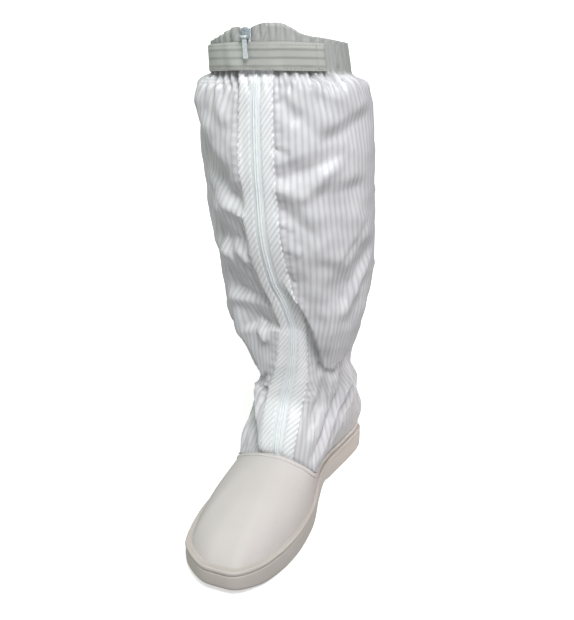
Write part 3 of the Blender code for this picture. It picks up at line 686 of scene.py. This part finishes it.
def relief(arc, share, level):
    # millimetres out from the plain rings: folds by distance from their lines, gathers that die away and
    # fine slack
    total = np.zeros(arc.shape)
    kept = fade(11, 18, np.abs(arc)) * (1 - 0.6 * hump(arc, 112, 22) - 0.6 * hump(arc, -88, 15))
    for a0, h0, a1, h1, above, below, depth in folds:
        ends, off = alongLine(arc, level, a0, h0, a1, h1)
        slope = 1 - np.sqrt((off / np.where(off < 0, above, below)) ** 2 + 0.012)
        total += ends * kept * depth * (slope + np.sqrt(slope ** 2 + 0.015)) / 2
    for a0, h0, a1, h1, depth, reach, rim in tucks:
        ends, off = alongLine(arc, level, a0, h0, a1, h1)
        behind = fade(-rim, rim, off)
        total += ends * depth * (0.35 * np.exp(off / reach).clip(0, 1) * (1 - behind)
                                 - behind * np.exp(-np.clip(off, 0, None) / reach))
    calm = fade(*gathers.zipCalm, np.abs(arc))
    count, size, height = gathers.ankle
    reach = 15 + 9 * swing(6 * share + 0.3) + np.where(level < height, 8, 0)
    total += calm * hump(level, height, reach) * size * pleat(share, count, 0.2)
    count, size = gathers.fan
    fan = fade(52, 80, level) * fade(124, 100, level)
    fan = fan * (1 - fade(8, 16, arc) * fade(120, 106, arc))
    fanned = share - 0.0012 * swing(share) * (level - 120)
    total += calm * fan * size * pleat(fanned, count, 0.65)
    # the empty leg gives way above the ankle: in at the bend, out below it, and full under the collar
    bend, deep, out, wide = (np.interp(arc, bends.arc, pair) for pair in (
        bends.level, bends.depth, bends.out, bends.outWidth))
    front = fade(*bends.left, arc) * fade(*bends.right, arc)
    reach = np.where(level > bend, *bends.reach)
    total -= front * deep * np.exp((bends.round - np.hypot(level - bend, bends.round)) / reach)
    out = out * fade(98, 72, arc)
    total += front * out * hump(level, bends.outLevel, wide)
    lap, full, slack = (depth * hump(level, height, width)
                        for depth, height, width in (bends.lap, bends.full, bends.slack))
    total += fade(44, 20, np.abs(arc - 4)) * lap
    total += fade(70, 40, np.abs(arc)) * (full - slack)
    count, size, height = gathers.collar
    reach = 12 + 8 * swing(8 * share + 0.1) + 4 * swing(13 * share + 0.6)
    below = np.exp(-np.clip((height - level) / np.maximum(reach, 4), 0, None) ** 1.3) * fade(421, 415, level)
    total += (0.35 + 0.65 * calm) * below * size * pleat(share, count, 0.45)
    hang = gathers.hang
    for place, depth, length, width in gathers.pits:
        pit = hump(arc - place, (hang - level) * 0.1, width)
        total -= depth * pit * fade(hang - length, 411, level) * fade(425, 420, level)
    held = fade(418, 424, level) * fade(443, 438, level)
    total += fade(66, 74, arc) * held * 0.7 * pleat(share, count, 0.45)
    count, size = gathers.ruffle
    size = size * (0.3 + 0.7 * fade(4, 12, np.abs(arc))) * (1 - 0.6 * fade(26, 60, np.abs(arc)))
    total += fade(440, 446, level) * size * pleat(share, count, 0.8)
    # the facings' seams draw the cloth up in small puckers
    pitch, place, width, size = gathers.pucker
    pucker = np.sin(2 * np.pi * level / pitch + np.where(arc > 0, 0, 2)) * hump(np.abs(arc), place, width)
    total += size * pucker * fade(90, 130, level) * fade(416, 400, level)
    whole = fade(0, 0.04, np.abs(share - 0.5)) * fade(60, 90, level) * fade(424, 412, level)
    limp = 1 + 0.4 * fade(-14, -30, arc)
    for slant, pace, size, phase in gathers.crumple:
        # triangle waves at several slants, bent by slow sines: flat facets with crisp edges
        beside = level * np.cos(slant) - arc * np.sin(slant)
        turn = (arc * np.cos(slant) + level * np.sin(slant)) / pace
        turn = turn + 0.4 * np.sin(beside / (1.7 * pace) + 9 * phase)
        total += size * limp * (np.abs(2 * ((turn + phase) % 1) - 1) - 0.5) * calm * kept * whole
    return total * fade(50, 62, level)


def onCloth(row, arc, lift=0.0):
    # a point at a fractional row and a length round from the zip, raised by the relief and a lift
    row, arc = np.broadcast_arrays(np.asarray(row, float), np.asarray(arc, float))
    r = np.clip(row.astype(int), 0, len(plain.ring) - 2)
    t = row - r
    girth, level = (line[r] * (1 - t) + line[r + 1] * t for line in (plain.girth, plain.level))
    share = (arc / girth) % 1
    place = share * shaft.count
    c = place.astype(int) % shaft.count
    d = (c + 1) % shaft.count
    u = (place - place.astype(int))[..., None]
    t = t[..., None]

    def mixed(values):
        return ((values[r, c] * (1 - u) + values[r, d] * u) * (1 - t)
                + (values[r + 1, c] * (1 - u) + values[r + 1, d] * u) * t)

    around = np.where(share > 0.5, share - 1, share) * girth
    rise = relief(around, share, level) + lift
    point = mixed(plain.ring) + unit(mixed(plain.out)) * rise[..., None]
    turns = plain.meridian[..., None]
    after = turns[r, d] + np.where(d == 0, shaft.girth, 0.0)[..., None]
    pattern = np.concatenate([turns[r, c] * (1 - u) + after * u, level[..., None]], axis=-1)
    return point, pattern


shaftRow = np.arange(len(plain.ring), dtype=float)[:, None]
inner = plain.girth[:, None] - 2 * shaft.slit
# columns stand closer in front, where most folds are
around = np.linspace(0, 1, shaft.columns)[None]
around = around - 0.07 * swing(around)
shaftArc = shaft.slit + inner * around
clothPoints, clothPattern = onCloth(shaftRow, shaftArc)
cloth = makePiece("clothShaft", [sheetOf(clothPoints, pattern=clothPattern)], "cloth",
                  "shaft", weld=False)
wall = cloth.modifiers.new("cloth thickness", "SOLIDIFY")
wall.thickness = shaft.thick * mm
wall.offset = -1
print("shaft", clothPoints.shape)

# Zip: tape and coil between two bias facings, laid along the cloth by length

zipLook = SimpleNamespace(
    tape=5.7, coil=2.0, pitch=1.5, facing=(4.6, 15.5), startRow=1.0, stitch=2.6,
    stitchArcs=(14.0, -14.0, 6.2, -6.2), cord=5.65, cordSlant=0.2515, strapLevel=430.0,
)
lastRow = float(len(plain.ring) - 1)


def levelAt(row):
    return np.interp(row, np.arange(lastRow + 1), plain.level)


def zipRows(step):
    # fractional rows at even lengths up the zip
    rows = np.linspace(zipLook.startRow, lastRow, 600)
    run = lengthAlong(onCloth(rows, 0.0)[0])
    at = np.linspace(0, run[-1], int(run[-1] / step) + 1)
    return np.interp(at, run, rows)[:, None], at[:, None]


def zipStrip(row, length, across, lifts):
    # a strip laid along the zip between two lifts, patterned by its width and length
    outer, inner = (onCloth(row, across, lift)[0] for lift in lifts)
    return [slabOf(outer, inner, stacked(across, length))]


row, length = zipRows(2.0)
across = np.linspace(-1, 1, 13)[None] * zipLook.tape
makePiece("zipTape", zipStrip(row, length, across, (-0.1, -0.8)), "tape", "zip_tape")

row, length = zipRows(0.37)
across = np.linspace(-1, 1, 17)[None] * zipLook.coil
# two rows of round ribs, half a pitch apart, with a groove where they meet
ribs = 0.5 + 0.5 * np.cos(2 * np.pi * (length / zipLook.pitch + np.where(across > 0, 0.5, 0.0)))
rounded = np.sqrt(np.clip(1 - (2 * np.abs(across) / zipLook.coil - 1) ** 2, 0, 1))
makePiece("zipCoil", zipStrip(row, length, across, (0.3 + rounded * (0.95 + 0.35 * ribs), 0.1)),
          "coil", "zip_chain")

row, length = zipRows(0.75)
# the pattern moves up by whole cords until it reads about the cloth's own height at the strap, where the
# facing's second colours take over
cord = zipLook.cord
atStrap = length[np.abs(levelAt(row[:, 0]) - zipLook.strapLevel).argmin(), 0]
shiftUp = cord * round((zipLook.strapLevel - atStrap) / cord)
for side, sign in (("Medial", 1), ("Lateral", -1)):
    inside, outside = zipLook.facing
    inside = inside - 1.8 * fade(430, 441, levelAt(row))
    part = np.linspace(0, 1, 19)[None]
    # corded along its slanting stripes: it swells between them, and its outer edge bulges where they end
    across = sign * (inside + (outside - inside) * part)
    wave = -np.cos(2 * np.pi * (length / cord - across * zipLook.cordSlant))
    across = across + sign * 0.4 * wave * part
    pillow = 1 - np.abs(2 * part - 1) ** 5
    top = 0.35 + pillow * (0.75 + 0.2 * wave)
    makePiece("facing" + side, zipStrip(row, length + shiftUp, across, (top, 0.2)),
              "facing", "zip_facing_" + side.lower())
print("zip and facings")

# Strap: webbing held off the cloth, highest where it passes the zip

strap = SimpleNamespace(
    ends=(-120.0, 62.0), slant=3.5, levels=(418.0, 440.0), thick=1.6, lift=(0.7, 2.4),
    rise=(16.0, 28.0), seam=7.0, inset=2.0, thread=0.25,
)
strapLevel = np.linspace(*strap.levels, 25)[:, None]


def strapEnd(level):
    # the free end is cut at a slant
    return strap.ends[1] - strap.slant * (strap.levels[1] - level) / np.ptp(strap.levels)


strapStop = strapEnd(strapLevel)
strapArc = strap.ends[0] + (strapStop - strap.ends[0]) * np.linspace(0, 1, 186)[None]


def onStrap(level, arc, out):
    # the strap runs on the plain rings: its lift falls from the zip to the sides, with a slight wave
    near = 1 - fade(*strap.rise, np.abs(arc))
    lift = strap.lift[0] + (strap.lift[1] - strap.lift[0]) * near
    row = np.interp(level, plain.level, np.arange(len(plain.level)))
    level, arc = np.broadcast_arrays(level, arc)
    share = (arc / np.interp(row, np.arange(len(plain.girth)), plain.girth)) % 1
    wave = 0.25 * np.sin(arc / 13 + level / 9)
    bare = relief(arc, share, level)
    return onCloth(row, arc, lift + out + wave - bare)


part = np.linspace(-1, 1, 25)[:, None]
hem = 0.3 * hump(np.abs(part), 0.82, 0.05)
crown = strap.thick - 0.5 * np.abs(part) ** 8 - hem
end = fade(0, 1.2, strapArc - strap.ends[0]) * fade(0, 1.2, strapStop - strapArc)
seamDip = 0.35 * hump(strapArc - strapStop, -strap.seam, 0.8)
strapOuter = onStrap(strapLevel, strapArc, crown * (0.55 + 0.45 * end) - seamDip)[0]
strapInner = onStrap(strapLevel, strapArc, 0.0)[0]
makePiece("collarStrap", [slabOf(strapOuter, strapInner, stacked(strapArc, strapLevel))],
          "strap", "top_strap")
print("strap")

# Stitches: short round threads that dip into the cloth at both ends


def stitchRow(line, out, pitch, thread):
    # a tapered tube of five rings and six sides at even spacing along a line
    run = lengthAlong(line)
    middle = np.arange(pitch / 2, run[-1], pitch)
    way = np.linspace(-0.36, 0.36, 5)[None] * pitch + middle[:, None]
    centre = pointsAt(way, run, line)
    up = unit(pointsAt(way, run, out))
    ahead = unit(centre[:, -1:] - centre[:, :1])
    side = unit(np.cross(ahead, up))[:, :, None]
    arch = np.array([0.0, 0.75, 1.0, 0.75, 0.0])[None, :, None]
    centre = centre + up * (arch * thread - 0.1)
    angle = fullTurn(6)[:, None]
    thick = thread * np.array([0.0, 0.85, 1.0, 0.85, 0.0])[None, :, None, None]
    tube = centre[:, :, None] + thick * (up[:, :, None] * np.sin(angle) + side * np.cos(angle))
    return [sheetOf(one, 1) for one in tube]


def clothLine(row, arc, lift):
    # a line on the cloth and the way out from it
    point, above = (onCloth(row, arc, lift + more)[0] for more in (0.0, 1.0))
    return point, unit(above - point)


def strapLine(level, arc):
    # a line just under the webbing's face and the way out from it
    line, over = (onStrap(level, arc, strap.thick + lift)[0] for lift in (-0.2, 1.0))
    return line, unit(over - line)


row, length = zipRows(1.2)
row = row[levelAt(row[:, 0]) < strap.levels[0] + 6]
stitches = []
for arc in zipLook.stitchArcs:
    stitches += stitchRow(*clothLine(row[:, 0], np.full(len(row), arc), 1.1), zipLook.stitch, 0.28)
makePiece("facingStitches", stitches, "thread")

stitches = []
inset = strap.inset
bottom, top = strap.levels[0] + inset, strap.levels[1] - inset
for level in (bottom, top):
    arc = np.linspace(strap.ends[0] + inset, strapEnd(level) - inset, 200)
    stitches += stitchRow(*strapLine(np.full(200, level), arc), 2.8, strap.thread)
level = np.linspace(bottom, top, 40)
for arc in (strapEnd(level) - inset, strapEnd(level) - strap.seam, np.full(40, strap.ends[0] + inset)):
    stitches += stitchRow(*strapLine(level, arc), 2.6, strap.thread)
makePiece("strapStitches", stitches, "strapThread")
print("stitches")

# Slider and pull tab: built across, out and up from the tab's hinge

hinge = frame["joints"][0]
slider = SimpleNamespace(
    pivot=(6.3, -2.6), deck=(2.2, 4.6), half=(3.5, 1.2), reach=(4.6, 5.5), blunt=0.55,
    lug=(3.45, -0.6, 0.0), lugHalf=(0.55, 1.95, 1.4), pin=(0.6, 3.9), crown=(1.3, 0.5, 1.6),
)
pin = np.array(hinge["pos_m"]) / mm
acrossAxis = unit(np.array(hinge["axis"], float))
rise = sectionRing(shaft.rimLevel)[0][0] - sectionRing(shaft.strapTop)[0][0]
upAxis = unit(rise - acrossAxis * np.dot(rise, acrossAxis))
outAxis = np.cross(upAxis, acrossAxis)


def atSlider(local):
    # across, out of the cloth and up, measured from the hinge pin
    return local[..., :1] * acrossAxis + local[..., 1:2] * outAxis + local[..., 2:] * upAxis + pin


def blunted(centre, half, exponent, rows=17, columns=28):
    # blunt ellipsoid: sines and cosines raised to a power below one
    tilt = np.linspace(-np.pi / 2, np.pi / 2, rows)[:, None]
    turn = fullTurn(columns)[None]
    flat = power(np.cos(tilt), exponent)
    local = stacked(flat * power(np.cos(turn), exponent), flat * power(np.sin(turn), exponent),
                    power(np.sin(tilt), exponent))
    return sheetOf(atSlider(local * np.array(half) + np.array(centre)), 1)


def rodAcross(radius, half):
    # round bar along the hinge, rounded off at both ends
    way = np.array([-1, -1, -0.94, 0.94, 1, 1])[:, None] * half
    size = np.array([0, 0.8, 1, 1, 0.8, 0])[:, None] * radius
    turn = fullTurn(20)[None]
    return sheetOf(atSlider(stacked(way, size * np.sin(turn), size * np.cos(turn))), 1)


deck = -slider.pivot[0] + sum(slider.deck) / 2
middle = -slider.pivot[1]
# deck: blunt oval across, carried up with wide shoulders and a narrow tail
way = np.linspace(-1, 1, 25)[:, None]
turn = fullTurn(36)[None]
capped = np.clip(1 - np.abs(way) ** 7, 0, 1) ** 0.5
width = (slider.half[0] + 0.5 * np.sin(way * 1.4)) * capped
local = stacked(width * power(np.cos(turn), slider.blunt),
                deck + slider.half[1] * capped * power(np.sin(turn), slider.blunt),
                middle + np.where(way > 0, *slider.reach) * way)
sliderSheets = [sheetOf(atSlider(local), 1)]
for sign in (-1, 1):
    sliderSheets.append(blunted((sign * slider.lug[0], *slider.lug[1:]), slider.lugHalf, 0.6))
sliderSheets.append(rodAcross(*slider.pin))
sliderSheets.append(blunted((0, deck + 1.1, middle + 3.2), slider.crown, 0.7))
makePiece("zipSlider", sliderSheets, "enamel", "zip_slider", shift=np.zeros(3))

# tab: a rolled eye round the pin and a flat blade with a raised rim and a round end
tab = SimpleNamespace(
    eye=[(-2.5, 0.85), (-2.5, 1.2), (-2.3, 1.35), (2.3, 1.35), (2.5, 1.2), (2.5, 0.85)],  # across, radius
    start=-1.0, length=16.0, half=2.1, waist=0.35, thick=0.5, blunt=0.5,
)
turn = fullTurn(28)[:, None]
along, radius = np.array(tab.eye).T[:, None]
local = stacked(along, radius * np.sin(turn), radius * np.cos(turn))
tabSheets = [sheetOf(atSlider(local), 2)]
down = np.linspace(0, 1, 41)[:, None]
turn = fullTurn(40)[None]
ends = np.clip(1 - np.abs(2 * down - 1) ** 14, 0, 1) ** 0.5
width = (tab.half - tab.waist * np.sin(np.pi * down) + tab.waist * down) * ends
bite = 1 - 0.35 * fade(0.1, 0.2, down) * fade(0.95, 0.86, down) * fade(0.75, 0.55, np.abs(np.cos(turn)))
local = stacked(width * power(np.cos(turn), tab.blunt),
                tab.thick * ends ** 0.5 * power(np.sin(turn), tab.blunt) * bite,
                tab.start - tab.length * down)
tabSheets.append(sheetOf(atSlider(local), 1))
makePiece("zipPullTab", tabSheets, "tab", "zip_pull_tab", "pull_tab", shift=np.zeros(3))
print("slider and tab")

# Camera, floor and light

view = SimpleNamespace(target=(0.02204, -0.020, 0.215), camera=(0.30995, -0.70359, 0.51469), lens=53.41)
lens = bpy.data.cameras.new("camera")
lens.lens = view.lens
lens.sensor_width = 36.0
camera = addObject("camera", lens)
aimAt(camera, view.camera, view.target)
bpy.context.scene.camera = camera

# white paper sweep that keeps its brightness away from the lamps
floorFinish, floorAdd, floorShader = newFinish("matt paper", {
    "Base Color": hexColour("#e4e4e3"), "Roughness": 0.9, "Emission Color": hexColour("#ffffff")})
floorPlace = floorAdd("TexCoord")
floorReach = floorAdd("VectorMath", {0: (floorPlace, "Object")}, operation="LENGTH")
floorGlow = remap(floorAdd, (floorReach, "Value"), 0.1, 0.8, 0.45, 1.0, "SMOOTHSTEP")
setSockets(floorShader, {"Emission Strength": (floorGlow, "Result")})
floorMesh = bpy.data.meshes.new("floor")
floorMesh.from_pydata([(-15, -15, 0), (15, -15, 0), (15, 15, 0), (-15, 15, 0)], [], [(0, 1, 2, 3)])
floorMesh.materials.append(floorFinish)
floor = addObject("floor", floorMesh)
floor.visible_diffuse = False  # the paper throws no light up under the folds
floor.visible_glossy = False  # nor a shine along the edges

lights = [
    # name, place, aim, size, spread, power, colour
    ("key", (0.44, -0.68, 1.24), (0.0, 0.0, 0.25), 0.5, 180, 16.0, "#fcfbff"),
    ("window", (1.4, -0.6, 1.0), (0.0, 0.0, 0.1), 0.7, 180, 1.0, "#f9f8ff"),
    ("fill", (-0.75, -0.9, 1.9), (0.0, 0.0, 0.22), 1.0, 180, 5.5, "#c8f6c4"),
    ("card", (0.72, 0.3, 0.2), (0.04, 0.16, 0.02), 0.2, 40, 0.14, "#fff2ea"),
]
for name, place, aim, size, spread, strength, tint in lights:
    lamp = bpy.data.lights.new(name, "AREA")
    lamp.size = size
    lamp.spread = np.radians(spread)
    lamp.energy = strength
    lamp.color = hexColour(tint)[:3]
    aimAt(addObject(name, lamp), place, aim)

world = bpy.data.worlds.new("studio")
world.use_nodes = True
setSockets(world.node_tree.nodes["Background"], {"Color": hexColour("#ffffff"), "Strength": 0.52})
bpy.context.scene.world = world
bpy.context.scene.view_settings.view_transform = "Standard"

print("scene ready")
